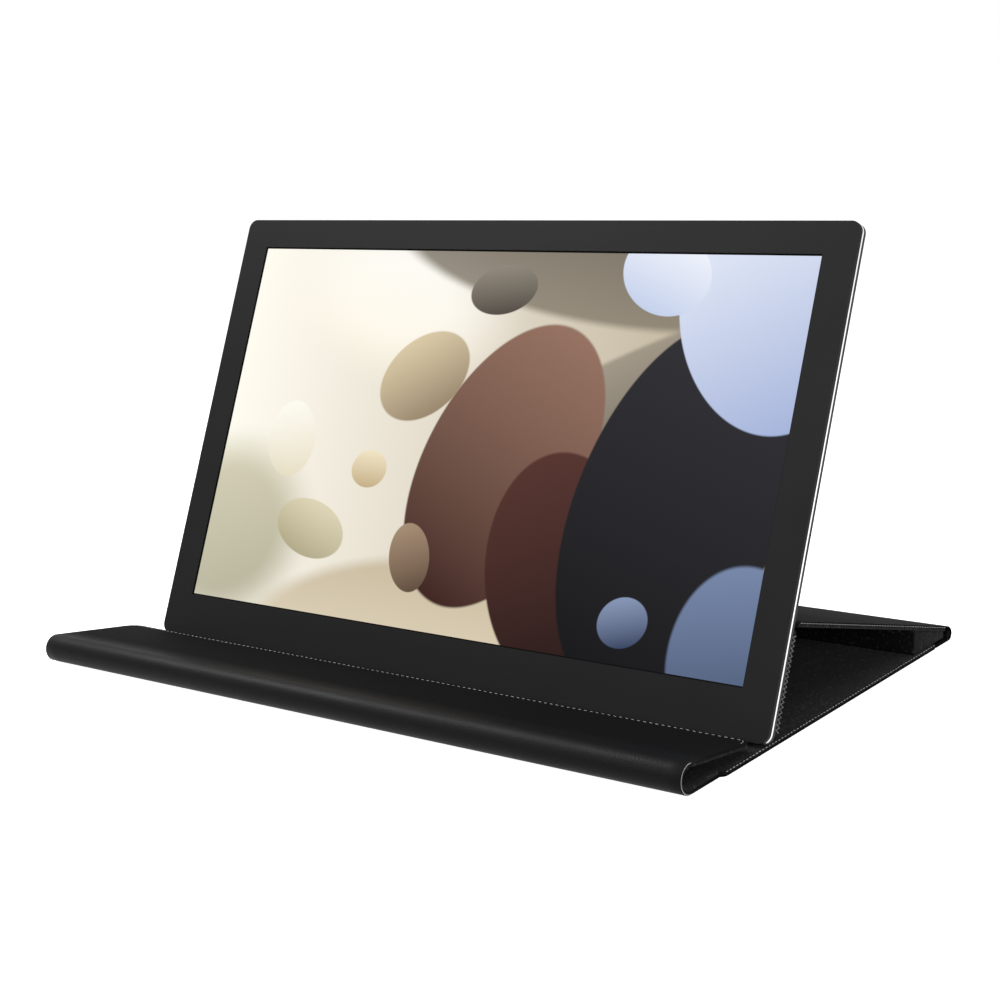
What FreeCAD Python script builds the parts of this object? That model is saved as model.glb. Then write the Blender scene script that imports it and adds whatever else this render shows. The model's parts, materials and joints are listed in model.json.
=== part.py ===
import FreeCAD, Part
import os
import re
import Sketcher

# Portable monitor standing on its folding cover, in millimetres. X runs along the screen's width,
# Y to the rear, Z up. The origin lies on the table, under the middle of the screen's lower front edge.

sizes = {
    # monitor body, depths counted back from its front face
    "jamb_width": 16.9,
    "brow_height": 15.6,
    "body_depth": 8.5,
    "edge_depth": 5.0,
    "taper_width": 20.0,
    "corner_radius": 5.0,
    "lean": 24.5,
    "screen_width": 344.2,
    "screen_height": 193.6,
    "screen_bottom": 22.4,
    "bezel_depth": 2.0,
    "bezel_lip": 0.8,
    "bezel_round": 0.5,
    "trim_depth": 1.1,
    "trim_width": 2.5,
    "shell_wall": 1.2,
    "side_wall": 1.6,
    # display stack
    "cell_depth": 1.1,
    "film_depth": 0.4,
    "guide_depth": 0.8,
    "reflector_depth": 0.2,
    "tray_depth": 0.4,
    "window_margin": 0.2,
    "cell_margin": 4.4,
    "cell_below": 7.9,
    "frame_margin": 6.3,
    "frame_below": 10.4,
    "frame_wall": 3.8,
    "guide_margin": 2.3,
    "guide_below": 2.4,
    "led_play": 4.2,
    "led_height": 3.0,
    # electronics
    "board_inset": 17.0,
    "board_width": 112.0,
    "board_bottom": 64.0,
    "board_height": 46.0,
    "board_depth": 0.8,
    "board_gap": 0.6,
    "chip_depth": 1.0,
    "chip_height": 9.0,
    "chip_large": 14.0,
    "chip_medium": 10.0,
    "chip_small": 8.0,
    "can_depth": 1.7,
    "can_sheet": 0.3,
    "strip_width": 240.0,
    "strip_bottom": 3.5,
    "strip_height": 7.5,
    "socket_height": 80.0,
    "socket_width": 12.4,
    "socket_depth": 2.3,
    "socket_length": 8.0,
    "socket_sheet": 0.3,
    "socket_recess": 0.5,
    "socket_floor": 2.0,
    "tongue_recess": 1.5,
    "tongue_inset": 2.5,
    "cable_depth": 0.25,
    "cable_width": 16.0,
    "cable_lap": 4.0,
    "socket_tail": 8.0,
    # fasteners
    "screw_pitch": 250.0,
    "screw_low": 34.0,
    "screw_drop": 26.0,
    "screw_radius": 1.0,
    "screw_head": 1.9,
    "head_depth": 0.7,
    "screw_length": 3.0,
    "post_radius": 2.5,
    "bolt_radius": 0.8,
    "bolt_head": 1.6,
    "bolt_length": 1.2,
    "bolt_inset": 5.0,
    "hole_gap": 0.1,
    # folding cover
    "cover_over": 20.0,
    "cover_short": 2.5,
    "flap_inset": 1.5,
    "skin_depth": 0.8,
    "stiff_depth": 1.0,
    "felt_depth": 0.5,
    "hem_width": 4.0,
    "board_play": 0.1,
    "panel_radius": 4.0,
    "base_front": -31.0,
    "base_rear": 164.0,
    "soft_length": 32.0,
    "foot_gap": 0.3,
    "pad_depth": 0.5,
    "pad_width": 60.0,
    "pad_height": 24.0,
    "pad_rise": 2.0,
    "back_low": 3.2,
    "fold_height": 54.7,
    "fold_setback": 3.0,
    "crease_gap": 0.3,
    # rear fold
    "rear_y": 178.0,
    "rear_z": 4.78,
    "rear_gap": 0.3,
    "prop_setback": 3.0,
    "loop_y": 177.5,
    "loop_low": 0.25,
    "loop_high": 6.9,
    "loop_start": 176.4,
    # front roll and flap
    "roll_y": -53.3,
    "roll_z": 7.3,
    "roll_radius": 7.0,
    "flap_slope": 8.2,
    "flap_front": 0.6,
    "flap_rear": 48.4,
    "magnet_radius": 5.0,
    "magnet_margin": 78.0,
    "magnet_inset": 14.0,
    "magnet_shift": 10.0,
}

derived = {
    "body_width": "screen_width + 2 * jamb_width",
    "body_height": "screen_bottom + screen_height + brow_height",
    "led_length": "screen_width - led_play",
    "magnet_spread": "body_width - magnet_margin",
    "board_left": "board_inset - body_width / 2",
    "screw_high": "screen_bottom + screen_height - screw_drop",
    "cover_left": "body_width / 2 + cover_over",
    "cover_right": "body_width / 2 - cover_short",
    "can_left": "board_left + board_width * 0.16",
    "can_right": "board_left + board_width * 0.52",
    "can_bottom": "board_bottom + board_height * 0.26",
    "can_top": "board_bottom + board_height * 0.82",
    "cable_left": "board_left + board_width * 0.6",
    "cell_back": "bezel_lip + cell_depth",
    "film_back": "cell_back + film_depth",
    "guide_back": "film_back + guide_depth",
    "reflector_back": "guide_back + reflector_depth",
    "tray_back": "reflector_back + tray_depth",
    "trim_back": "bezel_depth + trim_depth",
    "cavity_back": "body_depth - shell_wall",
    "slope_start": "edge_depth - shell_wall",
    "board_front": "tray_back + board_gap",
    "board_back": "board_front + board_depth",
    "panel_depth": "skin_depth + stiff_depth + felt_depth",
    "foot_height": "panel_depth + foot_gap + edge_depth * sin(lean)",
    "fold_depth": "body_depth + pad_depth",
    "fold_y": "fold_height * sin(lean) + fold_depth * cos(lean)",
    "fold_z": "foot_height + fold_height * cos(lean) - fold_depth * sin(lean)",
    "prop_rise": "rear_gap + panel_depth",
    "prop_span": "sqrt((rear_y - fold_y)^2 + (fold_z - rear_z)^2)",
    "prop_length": "sqrt(prop_span^2 - prop_rise^2)",
    "prop_angle": "(atan2(fold_z - rear_z; rear_y - fold_y) - asin(prop_rise / prop_span)) / 1deg",
}

doc = FreeCAD.newDocument("portable_monitor")
sheet = doc.addObject("Spreadsheet::Sheet", "Sizes")
row = 0
for name, value in list(sizes.items()) + [(key, "=" + text) for key, text in derived.items()]:
    row += 1
    sheet.set("A%d" % row, name.replace("_", " "))
    sheet.set("B%d" % row, str(value))
    sheet.setAlias("B%d" % row, name)
doc.recompute()

known = set(sizes) | set(derived)
nodes = {}


def linked(text):
    return re.sub(r"[a-z_]+", lambda m: "Sizes." + m.group() if m.group() in known else m.group(), text)


def number(text):
    value = sheet.evalExpression(linked(text))
    return float(getattr(value, "Value", value))


def bind(thing, **values):
    for path, text in values.items():
        thing.setExpression(path.replace("__", "."), linked(text))


def place(thing, frame):
    axis, angle, shift = frame
    turn = FreeCAD.Rotation(FreeCAD.Vector(*axis), number(angle))
    thing.Placement = FreeCAD.Placement(FreeCAD.Vector(*[number(part) for part in shift]), turn)
    bind(thing, Placement__Rotation__Angle=angle)
    for letter, part in zip("xyz", shift):
        thing.setExpression("Placement.Base." + letter, linked(part))


table_frame = ((1, 0, 0), "0", ("0", "0", "0"))
screen_frame = ((1, 0, 0), "90 - lean", ("0", "0", "foot_height"))
prop_frame = ((-1, 0, 0), "prop_angle", ("0", "rear_y", "rear_z"))
flap_frame = ((-1, 0, 0), "flap_slope", ("0", "roll_y", "roll_z"))


def new_body(label, frame):
    body = doc.addObject("PartDesign::Body", label)
    body.Label = label
    place(body, frame)
    nodes[label] = body
    return body


def new_sketch(body, level):
    plane = [part for part in body.Origin.OriginFeatures if part.Role == "XY_Plane"][0]
    sketch = body.newObject("Sketcher::SketchObject", body.Name + "_outline")
    sketch.AttachmentSupport = [(plane, "")]
    sketch.MapMode = "FlatFace"
    bind(sketch, AttachmentOffset__Base__z=level)
    return sketch


def dimension(sketch, kind, start, end, text):
    index = sketch.addConstraint(Sketcher.Constraint(kind, *start, *end, number(text)))
    label = "size%d" % index
    sketch.renameConstraint(index, label)
    sketch.setExpression("Constraints." + label, linked(text))


def add_rectangle(sketch, bounds, radius=None):
    left, right, bottom, top = [number(text) for text in bounds]
    bend = number(radius) if radius else 0.0
    corners = ((right, bottom, -1, 1, 270), (right, top, -1, -1, 0),
               (left, top, 1, -1, 90), (left, bottom, 1, 1, 180))
    ends = ((left + bend, bottom), (right - bend, bottom), (right, bottom + bend), (right, top - bend),
            (right - bend, top), (left + bend, top), (left, top - bend), (left, bottom + bend))
    points = [FreeCAD.Vector(x, y, 0) for x, y in ends]
    order = []
    for side in range(4):
        order.append(sketch.addGeometry(Part.LineSegment(points[2 * side], points[2 * side + 1])))
        if radius:
            x, y, inward, upward, turn = corners[side]
            centre = FreeCAD.Vector(x + inward * bend, y + upward * bend, 0)
            circle = Part.Circle(centre, FreeCAD.Vector(0, 0, 1), bend)
            start = FreeCAD.Units.Quantity("%d deg" % turn).getValueAs("rad").Value
            stop = FreeCAD.Units.Quantity("%d deg" % (turn + 90)).getValueAs("rad").Value
            order.append(sketch.addGeometry(Part.ArcOfCircle(circle, start, stop)))
    join = "Tangent" if radius else "Coincident"
    for here, after in zip(order, order[1:] + order[:1]):
        sketch.addConstraint(Sketcher.Constraint(join, here, 2, after, 1))
    step = 2 if radius else 1
    for side, kind in enumerate(("Horizontal", "Vertical", "Horizontal", "Vertical")):
        sketch.addConstraint(Sketcher.Constraint(kind, order[side * step]))
    if radius:
        for arc in order[3::2]:
            sketch.addConstraint(Sketcher.Constraint("Equal", order[1], arc))
        dimension(sketch, "Radius", (order[1],), (), radius)
    for side, kind, text in ((0, "DistanceY", bounds[2]), (1, "DistanceX", bounds[1]),
                             (2, "DistanceY", bounds[3]), (3, "DistanceX", bounds[0])):
        dimension(sketch, kind, (-1, 1), (order[side * step], 1), text)


def add_circles(sketch, centres, radius):
    for x, y in centres:
        circle = Part.Circle(FreeCAD.Vector(number(x), number(y), 0), FreeCAD.Vector(0, 0, 1), number(radius))
        index = sketch.addGeometry(circle)
        dimension(sketch, "DistanceX", (-1, 1), (index, 3), x)
        dimension(sketch, "DistanceY", (-1, 1), (index, 3), y)
        dimension(sketch, "Radius", (index,), (), radius)


def grow(body, low, high, bounds=None, radius=None, circles=None):
    sketch = new_sketch(body, low)
    if bounds:
        add_rectangle(sketch, bounds, radius)
    if circles:
        add_circles(sketch, *circles)
    pad = body.newObject("PartDesign::Pad", body.Name + "_pad")
    pad.Profile = sketch
    bind(pad, Length="(%s) - (%s)" % (high, low))
    doc.recompute()
    return pad


def carve(body, low, high, bounds=None, radius=None, circles=None):
    before = body.Shape.Volume
    sketch = new_sketch(body, high)
    if bounds:
        add_rectangle(sketch, bounds, radius)
    if circles:
        add_circles(sketch, *circles)
    pocket = body.newObject("PartDesign::Pocket", body.Name + "_pocket")
    pocket.Profile = sketch
    bind(pocket, Length="(%s) - (%s)" % (high, low))
    doc.recompute()
    if body.Shape.Volume >= before:
        raise ValueError("nothing cut from " + body.Label)
    return pocket


def loft(body, kind, sections):
    sketches = []
    for level, bounds, radius in sections:
        sketch = new_sketch(body, level)
        add_rectangle(sketch, bounds, radius)
        sketches.append(sketch)
    feature = body.newObject("PartDesign::" + kind, body.Name + "_taper")
    feature.Profile = sketches[0]
    feature.Sections = sketches[1:]
    feature.Ruled = True
    doc.recompute()
    return feature


def plate(label, frame, low, high, bounds, radius=None):
    body = new_body(label, frame)
    grow(body, low, high, bounds, radius)
    return body


def box(label, low, corner, extent):
    solid = doc.addObject("Part::Box", label)
    bind(solid, Length=extent[0], Width=extent[1], Height=extent[2])
    bind(solid, Placement__Base__x=corner[0], Placement__Base__y=corner[1], Placement__Base__z=low)
    return solid


def rod(label, centre, low, radius, height):
    solid = doc.addObject("Part::Cylinder", label)
    bind(solid, Radius=radius, Height=height)
    bind(solid, Placement__Base__x=centre[0], Placement__Base__y=centre[1], Placement__Base__z=low)
    return solid


def group(label, frame, members):
    whole = doc.addObject("Part::Compound", label)
    whole.Label = label
    whole.Links = members
    place(whole, frame)
    nodes[label] = whole
    return whole


def fused(label, members, frame=None):
    whole = doc.addObject("Part::MultiFuse", label)
    whole.Label = label
    whole.Shapes = members
    if frame:
        place(whole, frame)
        nodes[label] = whole
    return whole


def around_body(inset):
    return ("%s - body_width/2" % inset, "body_width/2 - (%s)" % inset, inset, "body_height - (%s)" % inset)


def around_screen(margin, below):
    return ("-screen_width/2 - %s" % margin, "screen_width/2 + %s" % margin,
            "screen_bottom - %s" % below, "screen_bottom + screen_height + %s" % margin)


# Front bezel: a plate with the screen's window, hollowed behind for the display
bezel = plate("front_bezel", screen_frame, "-bezel_depth", "0", around_body("0"), "corner_radius")
pocket_frame = around_screen("(frame_margin + window_margin)", "(frame_below + window_margin)")
carve(bezel, "-bezel_depth", "-bezel_lip", pocket_frame)
carve(bezel, "-bezel_lip", "0", around_screen("window_margin", "window_margin"))
front_edges = []
for index, edge in enumerate(bezel.Tip.Shape.Edges):
    box_of_edge = edge.BoundBox
    reach = max(abs(box_of_edge.XMin), abs(box_of_edge.XMax)) - number("screen_width/2 + frame_margin")
    above = box_of_edge.YMax - number("screen_bottom + screen_height + frame_margin")
    below = number("screen_bottom - frame_below") - box_of_edge.YMin
    height = max(above, below - number("frame_below"))
    if box_of_edge.ZMin > -1e-4 and (reach > 0 or height > 0):
        front_edges.append("Edge%d" % (index + 1))
rounding = bezel.newObject("PartDesign::Fillet", "front_bezel_round")
rounding.Base = (bezel.Tip, front_edges)
bind(rounding, Radius="bezel_round")
doc.recompute()

# Bright trim ring between the bezel and the rear cover
trim = plate("edge_trim", screen_frame, "-trim_back", "-bezel_depth", around_body("0"), "corner_radius")
carve(trim, "-trim_back", "-bezel_depth", around_body("trim_width"), "corner_radius - trim_width")

# Rear cover: a shallow pan, tapered to thin edges
cover = plate("rear_cover", screen_frame, "-edge_depth", "-trim_back", around_body("0"), "corner_radius")
loft(cover, "AdditiveLoft", (("-edge_depth", around_body("0"), "corner_radius"),
                             ("-body_depth", around_body("taper_width"), "corner_radius")))
carve(cover, "-slope_start", "-trim_back", around_body("side_wall"), "corner_radius - side_wall")
loft(cover, "SubtractiveLoft", (("-slope_start", around_body("side_wall"), "corner_radius - side_wall"),
                                ("-cavity_back", around_body("(taper_width + side_wall)"),
                                 "corner_radius - side_wall")))
screw_spots = [(side + "screw_pitch/2", level) for side in ("-", "") for level in ("screw_low", "screw_high")]
carve(cover, "-body_depth", "-cavity_back", circles=(screw_spots, "screw_radius + hole_gap"))
carve(cover, "-body_depth", "-body_depth + head_depth", circles=(screw_spots, "screw_head + hole_gap"))
socket_bounds = ("-body_width/2", "socket_length + hole_gap - body_width/2",
                 "socket_height - socket_width/2 - hole_gap", "socket_height + socket_width/2 + hole_gap")
socket_low = "-bezel_depth - hole_gap - socket_depth"
carve(cover, socket_low + " - hole_gap", "-trim_back", socket_bounds)
carve(trim, "-trim_back", "-bezel_depth", socket_bounds)

# Display stack, front to back
plate("lcd_panel", screen_frame, "-cell_back", "-bezel_lip", around_screen("cell_margin", "cell_below"))
guide_bounds = around_screen("guide_margin", "guide_below")
plate("optical_films", screen_frame, "-film_back", "-cell_back", guide_bounds)
plate("light_guide", screen_frame, "-guide_back", "-film_back", guide_bounds)
plate("reflector_sheet", screen_frame, "-reflector_back", "-guide_back", guide_bounds)
frame_bounds = around_screen("frame_margin", "frame_below")
panel_frame = plate("panel_frame", screen_frame, "-reflector_back", "-cell_back", frame_bounds)
carve(panel_frame, "-reflector_back", "-cell_back",
      around_screen("(frame_margin - frame_wall)", "(frame_below - frame_wall)"))
tray = plate("panel_tray", screen_frame, "-tray_back", "-reflector_back", frame_bounds)
grow(tray, "-cavity_back", "-tray_back", circles=(screw_spots, "post_radius"))
bolt_spots = [(x, y) for x in ("board_left + bolt_inset", "board_left + board_width - bolt_inset")
              for y in ("board_bottom + bolt_inset", "board_bottom + board_height - bolt_inset")]
grow(tray, "-board_front", "-tray_back", circles=(bolt_spots, "post_radius"))
carve(tray, "-cavity_back", "-tray_back", circles=(screw_spots, "screw_radius + hole_gap"))
carve(tray, "-board_front", "-tray_back", circles=(bolt_spots, "bolt_radius + hole_gap"))
led_bounds = ("-led_length/2", "led_length/2", "screen_bottom - guide_below - led_height",
              "screen_bottom - guide_below")
plate("led_strip", screen_frame, "-guide_back", "-film_back", led_bounds)

# Electronics behind the display
plate("source_board", screen_frame, "-bezel_depth - board_depth", "-bezel_depth",
      ("-strip_width/2", "strip_width/2", "strip_bottom", "strip_bottom + strip_height"))
board = plate("main_board", screen_frame, "-board_back", "-board_front",
              ("board_left", "board_left + board_width", "board_bottom", "board_bottom + board_height"))
carve(board, "-board_back", "-board_front", circles=(bolt_spots, "bolt_radius + hole_gap"))
chips = []
chip_places = ((0.62, 0.3, "chip_large"), (0.78, 0.34, "chip_medium"),
               (0.62, 0.7, "chip_small"), (0.77, 0.7, "chip_small"))
for order, (along, up, width) in enumerate(chip_places):
    corner = ("board_left + board_width * %.2f" % along, "board_bottom + board_height * %.2f" % up)
    chips.append(box("chip_%d" % order, "-board_back - chip_depth", corner, (width, "chip_height", "chip_depth")))
group("board_chips", screen_frame, chips)
can_bounds = ("can_left", "can_right", "can_bottom", "can_top")
can = plate("shield_can", screen_frame, "-board_back - can_depth", "-board_back", can_bounds)
can_inner = ("can_left + can_sheet", "can_right - can_sheet", "can_bottom + can_sheet", "can_top - can_sheet")
carve(can, "-board_back - can_depth + can_sheet", "-board_back", can_inner)
socket_right = "socket_length - body_width/2"
shell_left = "socket_recess - body_width/2"
shell_low = "socket_height - socket_width/2"
socket = doc.addObject("Part::Box", "socket_shell")
bind(socket, Length="socket_length - socket_recess", Width="socket_width", Height="socket_depth")
bind(socket, Placement__Base__x=shell_left, Placement__Base__y=shell_low, Placement__Base__z=socket_low)
mouth = doc.addObject("Part::Box", "socket_mouth")
bind(mouth, Length="socket_length - socket_recess - socket_floor",
     Width="socket_width - 2*socket_sheet", Height="socket_depth - 2*socket_sheet")
bind(mouth, Placement__Base__x=shell_left, Placement__Base__y=shell_low + " + socket_sheet",
     Placement__Base__z=socket_low + " + socket_sheet")
tongue = doc.addObject("Part::Box", "socket_tongue")
bind(tongue, Length="socket_length - tongue_recess - socket_floor", Width="socket_width - 2*tongue_inset",
     Height="2*socket_sheet")
bind(tongue, Placement__Base__x="tongue_recess - body_width/2", Placement__Base__y=shell_low + " + tongue_inset",
     Placement__Base__z=socket_low + " + socket_depth/2 - socket_sheet")
hollow = doc.addObject("Part::Cut", "socket_hollow")
hollow.Base = socket
hollow.Tool = mouth
fused("usb_socket", [hollow, tongue], screen_frame)
plate("socket_cable", screen_frame, "-board_front", "cable_depth - board_front",
      (socket_right, "board_left + socket_tail", "socket_height - cable_lap", "socket_height + cable_lap"))
cable_corner = ("cable_left", "strip_bottom + cable_lap")
run = box("cable_run", "-board_front", cable_corner, ("cable_width", "board_bottom - strip_bottom", "cable_depth"))
drop = box("cable_drop", "-board_front", cable_corner,
           ("cable_width", "cable_depth", "board_front - bezel_depth - board_depth"))
fused("panel_cable", [run, drop], screen_frame)

# Screws, heads to the rear
screws = []
for spot, (x, y) in enumerate(screw_spots):
    head = rod("screw_head_%d" % spot, (x, y), "-body_depth", "screw_head", "head_depth")
    shank = rod("screw_shank_%d" % spot, (x, y), "-body_depth + head_depth", "screw_radius", "screw_length")
    screws.append(fused("screw_%d" % spot, [head, shank]))
group("case_screws", screen_frame, screws)
bolts = []
for spot, (x, y) in enumerate(bolt_spots):
    head = rod("bolt_head_%d" % spot, (x, y), "-board_back - head_depth", "bolt_head", "head_depth")
    shank = rod("bolt_shank_%d" % spot, (x, y), "-board_back", "bolt_radius", "bolt_length")
    bolts.append(fused("bolt_%d" % spot, [head, shank]))
group("board_screws", screen_frame, bolts)

# Pads that hold the rear cover to the cover's back panel
pads = []
for spot, x in enumerate(("-screw_pitch/2 - pad_width/2", "screw_pitch/2 - pad_width/2")):
    corner = (x, "taper_width + pad_rise")
    pads.append(box("pad_%d" % spot, "-fold_depth", corner, ("pad_width", "pad_height", "pad_depth")))
group("mount_pads", screen_frame, pads)


def panel(prefix, frame, floor, bounds, stiff, skin_up):
    low = "%s + felt_depth" % floor if skin_up else floor
    high = "%s + panel_depth" % floor if skin_up else "%s + skin_depth + stiff_depth" % floor
    stiff_low = low if skin_up else "%s + skin_depth" % floor
    felt_low = floor if skin_up else high
    inner = ("%s + board_play" % stiff[0], "%s - board_play" % stiff[1],
             "%s + board_play" % stiff[2], "%s - board_play" % stiff[3])
    skin = plate(prefix + "_skin", frame, low, high, bounds, "panel_radius")
    carve(skin, stiff_low, stiff_low + " + stiff_depth", stiff)
    board_body = plate(prefix + "_board", frame, stiff_low, stiff_low + " + stiff_depth", inner)
    plate(prefix + "_lining", frame, felt_low, felt_low + " + felt_depth", bounds, "panel_radius")
    return board_body, stiff_low


def discs(label, frame, board_body, low, level):
    spots = [("%d * magnet_spread / 2 - magnet_shift" % side, level) for side in (-1, 1)]
    carve(board_body, low, low + " + stiff_depth", circles=(spots, "magnet_radius + hole_gap"))
    parts = [rod("%s_%d" % (label, k), spot, low, "magnet_radius", "stiff_depth") for k, spot in enumerate(spots)]
    group(label, frame, parts)


# Base panel, flat on the table
base_bounds = ("-cover_right", "cover_right", "base_front", "base_rear")
base_stiff = ("hem_width - cover_right", "cover_right - hem_width", "base_front + hem_width",
              "base_rear - soft_length")
panel("base", table_frame, "0", base_bounds, base_stiff, False)

# Prop panel, from the rear fold up to the top fold
prop_bounds = ("-cover_right", "cover_right", "fold_setback - prop_length", "-prop_setback")
prop_stiff = ("hem_width - cover_right", "cover_right - hem_width", "fold_setback + hem_width - prop_length",
              "-prop_setback - soft_length")
panel("prop", prop_frame, "rear_gap", prop_bounds, prop_stiff, True)

# Back panel, behind the monitor's lower part
back_bounds = ("-cover_right", "cover_right", "back_low", "fold_height - fold_setback")
back_stiff = ("hem_width - cover_right", "cover_right - hem_width", "back_low + hem_width",
              "fold_height - fold_setback - hem_width")
back_board, back_level = panel("back_panel", screen_frame, "-fold_depth - panel_depth", back_bounds, back_stiff, True)
discs("back_keepers", screen_frame, back_board, back_level, "back_low + magnet_inset")

# Front flap, lying from the roll back to the foot of the screen
flap_bounds = ("-cover_left", "cover_right - flap_inset", "flap_front", "flap_rear")
flap_stiff = ("hem_width - cover_left", "cover_right - flap_inset - hem_width", "flap_front + hem_width",
              "flap_rear - hem_width")
flap_board, flap_level = panel("flap", flap_frame, "roll_radius - panel_depth", flap_bounds, flap_stiff, True)
discs("flap_magnets", flap_frame, flap_board, flap_level, "flap_rear - magnet_inset")

# Soft strips at the folds, drawn across the width: their own X is the table's Y, their own Y is up
across = ((1, 1, 1), "120")


def strip(label, arc, legs, width, shift):
    centre, radius, thick, start, sweep = arc
    outer = rod(label + "_outer", centre, "0", radius, width)
    bind(outer, Angle=sweep, Placement__Rotation__Angle=start)
    inner = rod(label + "_inner", centre, "0", "%s - %s" % (radius, thick), width)
    ring = doc.addObject("Part::Cut", label + "_ring")
    ring.Base = outer
    ring.Tool = inner
    members = [ring]
    for index, (corner, extent) in enumerate(legs):
        members.append(box("%s_leg_%d" % (label, index), "0", corner, extent + (width,)))
    fused(label, members, across + (shift,))


roll_width = "cover_left + cover_right - flap_inset"
roll_shift = ("-cover_left", "roll_y", "roll_z")
strip("front_roll", (("0", "0"), "roll_radius", "skin_depth", "90 - flap_slope", "180 + flap_slope"),
      [(("0", "-roll_radius"), ("base_front - roll_y", "skin_depth"))], roll_width, roll_shift)
strip("front_roll_lining",
      (("0", "0"), "roll_radius - skin_depth", "felt_depth", "90 - flap_slope", "180 + flap_slope"),
      [(("0", "skin_depth - roll_radius"), ("base_front - roll_y", "felt_depth"))], roll_width, roll_shift)
loop_radius = "(loop_high - loop_low)/2"
strip("rear_spine", (("loop_y", "(loop_high + loop_low)/2"), loop_radius, "skin_depth", "-90", "180"),
      [(("base_rear", "loop_low"), ("loop_y - base_rear", "skin_depth")),
       (("loop_start", "loop_high - skin_depth"), ("loop_y - loop_start", "skin_depth"))],
      "2*cover_right", ("-cover_right", "0", "0"))

# Top crease: the leather that turns from the back panel to the prop panel
crease_back = doc.addObject("Part::Box", "crease_back")
bind(crease_back, Length="2*cover_right", Width="fold_setback - crease_gap", Height="skin_depth")
place(crease_back, ((1, 0, 0), "90 - lean", ("-cover_right", "fold_y - (fold_setback - crease_gap) * sin(lean)"
                                            " + skin_depth * cos(lean)",
                                            "fold_z - (fold_setback - crease_gap) * cos(lean)"
                                            " - skin_depth * sin(lean)")))
crease_prop = doc.addObject("Part::Box", "crease_prop")
bind(crease_prop, Length="2*cover_right", Width="fold_setback", Height="skin_depth")
place(crease_prop, ((-1, 0, 0), "prop_angle", ("-cover_right", "fold_y - skin_depth * sin(prop_angle)",
                                              "fold_z - skin_depth * cos(prop_angle)")))
fused("top_crease", [crease_back, crease_prop], table_frame)

doc.recompute()
os.makedirs("parts", exist_ok=True)
for label, thing in nodes.items():
    faults = [state for state in thing.State if state in ("Invalid", "Error")]
    if faults or thing.Shape.isNull() or not thing.Shape.isValid():
        raise ValueError("bad shape: " + label)
    thing.Shape.exportStep("parts/%s.step" % label)
    print(label, len(thing.Shape.Solids), round(thing.Shape.Volume, 1))
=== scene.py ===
import json
import math
import bpy
import bmesh
from mathutils import Matrix, Vector


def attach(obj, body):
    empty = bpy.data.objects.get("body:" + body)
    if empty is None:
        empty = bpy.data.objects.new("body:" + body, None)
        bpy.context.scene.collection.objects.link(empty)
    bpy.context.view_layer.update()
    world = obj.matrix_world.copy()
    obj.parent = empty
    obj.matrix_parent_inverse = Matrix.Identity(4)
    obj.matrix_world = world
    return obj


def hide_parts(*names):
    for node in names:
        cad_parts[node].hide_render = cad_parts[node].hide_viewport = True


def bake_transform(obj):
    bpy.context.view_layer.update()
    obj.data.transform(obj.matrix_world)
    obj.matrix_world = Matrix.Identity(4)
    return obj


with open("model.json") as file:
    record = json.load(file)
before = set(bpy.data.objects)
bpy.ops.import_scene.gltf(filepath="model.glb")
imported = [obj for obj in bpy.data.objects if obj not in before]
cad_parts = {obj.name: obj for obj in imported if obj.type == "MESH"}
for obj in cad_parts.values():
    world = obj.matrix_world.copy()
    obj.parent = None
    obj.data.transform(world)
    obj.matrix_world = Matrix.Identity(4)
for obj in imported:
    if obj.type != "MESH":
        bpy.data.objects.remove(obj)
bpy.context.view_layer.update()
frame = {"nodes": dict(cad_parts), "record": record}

nodes = frame["nodes"]
for spare in ("Cube", "Light", "Camera"):
    if spare in bpy.data.objects:
        bpy.data.objects.remove(bpy.data.objects[spare])
mm = 0.001

# where the pieces stand, as in the solids; lengths in millimetres
stand = {"lean": math.radians(24.5), "foot": 4.6735, "foldHeight": 54.7, "foldDepth": 9.0,
         "rearY": 178.0, "rearZ": 4.78, "propRise": 2.6,
         "rollY": -53.3, "rollZ": 7.3, "flapSlope": math.radians(8.2)}
cover = {"right": 186.5, "flapRight": 185.0, "rollLeft": -212.5, "baseFront": -31.0, "baseRear": 164.0,
         "flapRear": 48.4, "slant": 7.5, "setback": 3.0}


def screenPoint(x, up, depth):
    s, c = math.sin(stand["lean"]), math.cos(stand["lean"])
    return Vector((x, up * s + depth * c, stand["foot"] + up * c - depth * s)) * mm


foldPoint = screenPoint(0, stand["foldHeight"], stand["foldDepth"]) / mm
foldDrop, foldReach = foldPoint.z - stand["rearZ"], stand["rearY"] - foldPoint.y
foldSpan = math.hypot(foldReach, foldDrop)
propLength = math.sqrt(foldSpan ** 2 - stand["propRise"] ** 2)
propAngle = math.atan2(foldDrop, foldReach) - math.asin(stand["propRise"] / foldSpan)


def propPoint(x, y, z):
    s, c = math.sin(propAngle), math.cos(propAngle)
    return Vector((x, stand["rearY"] + y * c + z * s, stand["rearZ"] - y * s + z * c)) * mm


def flapPoint(x, y, z):
    # the flap's left end is cut at a slant, back from the roll
    s, c = math.sin(stand["flapSlope"]), math.cos(stand["flapSlope"])
    x += cover["slant"] * y / cover["flapRear"] if x < 0 else 0
    return Vector((x, stand["rollY"] + y * c + z * s, stand["rollZ"] - y * s + z * c)) * mm


def basePoint(x, y, z):
    return Vector((x, y, z)) * mm


def backPoint(x, y, z):
    return screenPoint(x, y, -z)


def rollPoint(x, y, z):
    return Vector((x, stand["rollY"] + y, stand["rollZ"] + z)) * mm


def hexColor(text):
    parts = [int(text[i:i + 2], 16) / 255 for i in (1, 3, 5)]
    return [p / 12.92 if p <= 0.04045 else ((p + 0.055) / 1.055) ** 2.4 for p in parts] + [1.0]


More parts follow.
